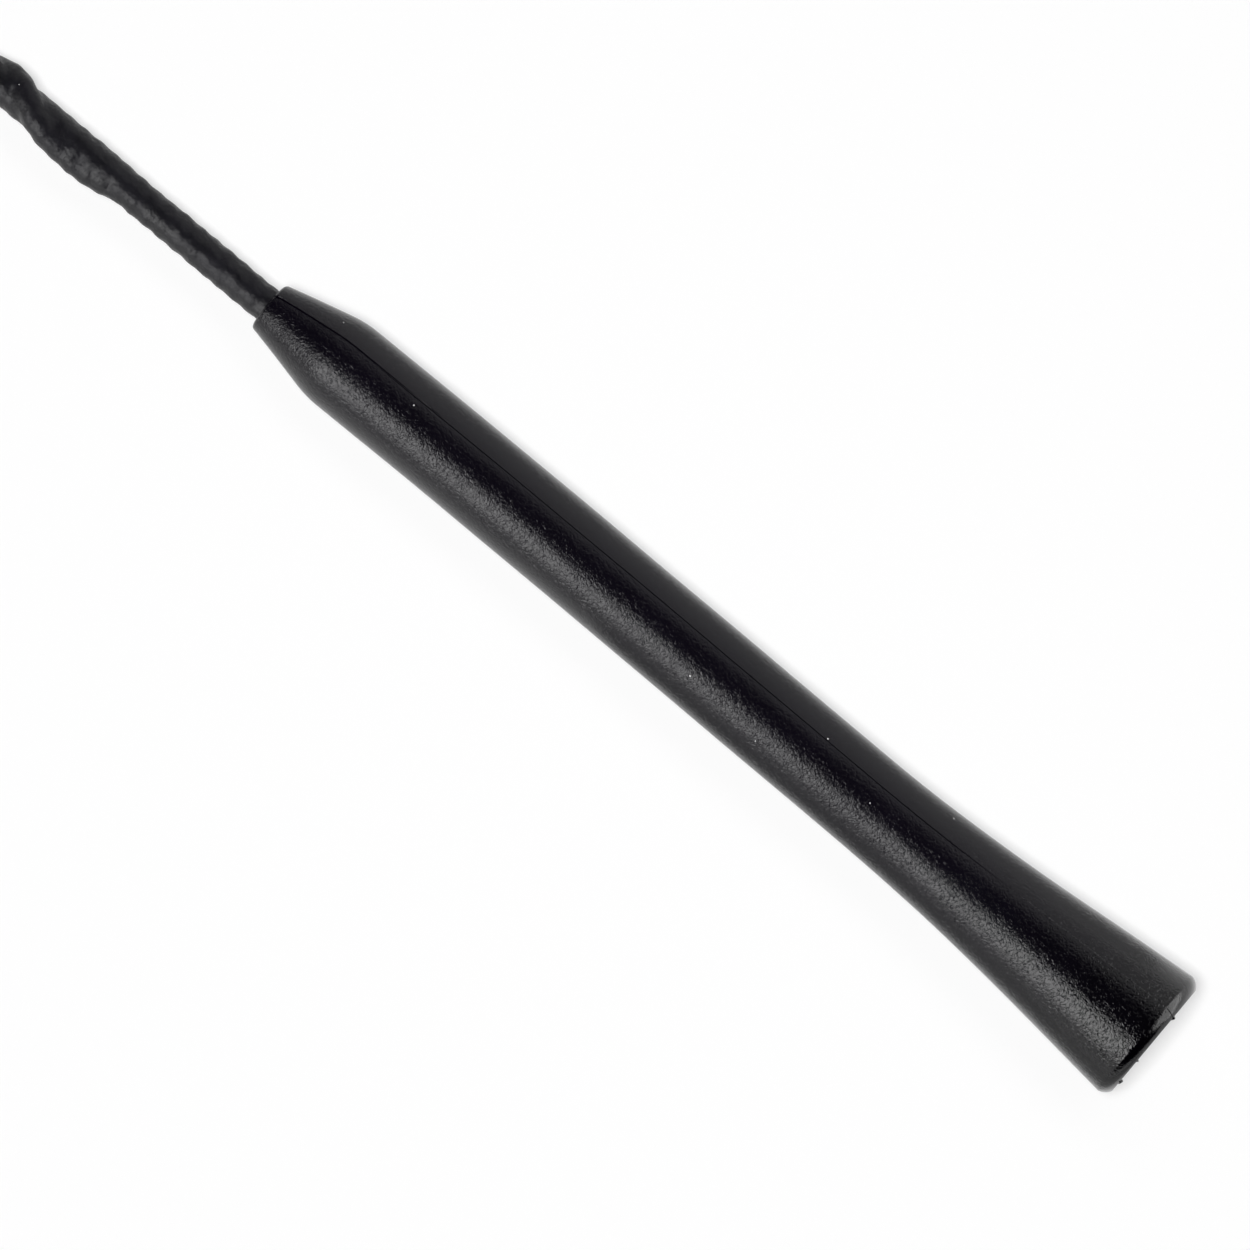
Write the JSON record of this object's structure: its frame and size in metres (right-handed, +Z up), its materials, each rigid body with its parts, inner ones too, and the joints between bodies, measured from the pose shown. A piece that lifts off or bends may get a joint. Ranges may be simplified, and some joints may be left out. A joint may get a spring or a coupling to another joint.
{
  "type": "car mast aerial",
  "caption": "Black screw-on car mast aerial: flared moulded boot round a threaded socket, thin sleeved rod with a spiral rib that eases in from a straight tail, and a rounded tip cap.",
  "frame": {"origin": "centre of the threaded socket's mouth, on the flat end of the boot", "axes": "+X along the mast from its foot to its tip, +Z up as it lies"},
  "size_m": [0.33, 0.016, 0.016],
  "materials": {
    "boot_plastic": "fine leather grain",
    "nickel_brass": "turned, nickel plated",
    "fibreglass": "pultruded rod",
    "copper_wire": "enamelled wire",
    "sleeve_black": "satin shrink sleeve",
    "cap_plastic": "satin"
  },
  "bodies": {
    "root": {"boot": "boot_plastic", "base_ferrule": "nickel_brass", "core_rod": "fibreglass", "winding": "copper_wire", "sheath": "sleeve_black", "spiral_rib": "sleeve_black", "tip_cap": "cap_plastic"}
  },
  "joints": []
}
